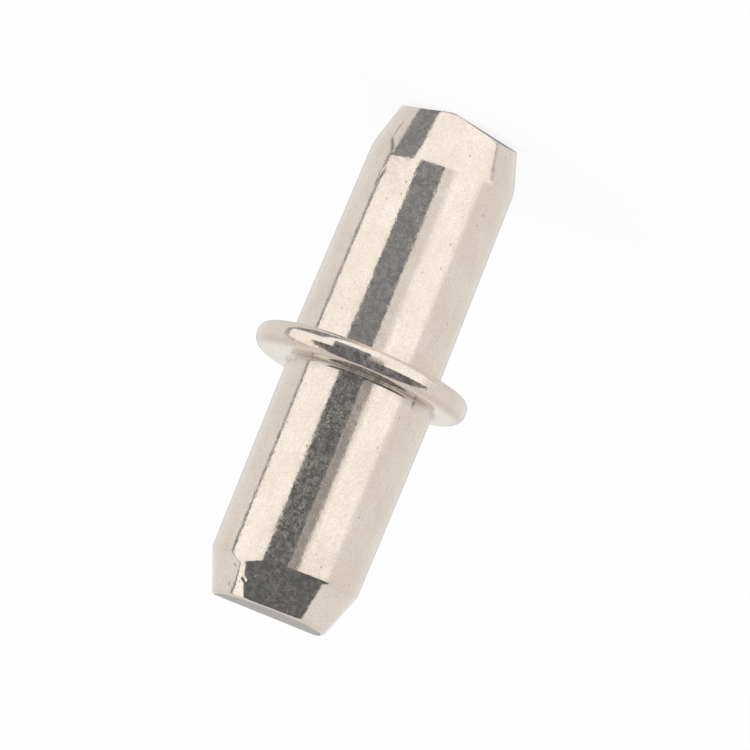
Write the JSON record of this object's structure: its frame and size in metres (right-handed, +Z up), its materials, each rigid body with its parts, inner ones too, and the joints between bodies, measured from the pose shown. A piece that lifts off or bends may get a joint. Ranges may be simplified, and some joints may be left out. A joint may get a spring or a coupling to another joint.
{
  "type": "shelf support pin",
  "caption": "Nickel-plated steel shelf pin: one peg enters the drilled cabinet side up to the collar, the other carries the shelf.",
  "frame": {"origin": "on the collar's centre line, in the plane of the cabinet peg's flat end, on which the pin stands", "axes": "+Z up along the pin, from the cabinet peg to the shelf peg; the shelf peg stands off the centre line towards -X"},
  "size_m": [0.0072, 0.0072, 0.017],
  "materials": {
    "nickel": "gloss"
  },
  "bodies": {
    "root": {"shelf_pin": "nickel"}
  },
  "joints": []
}
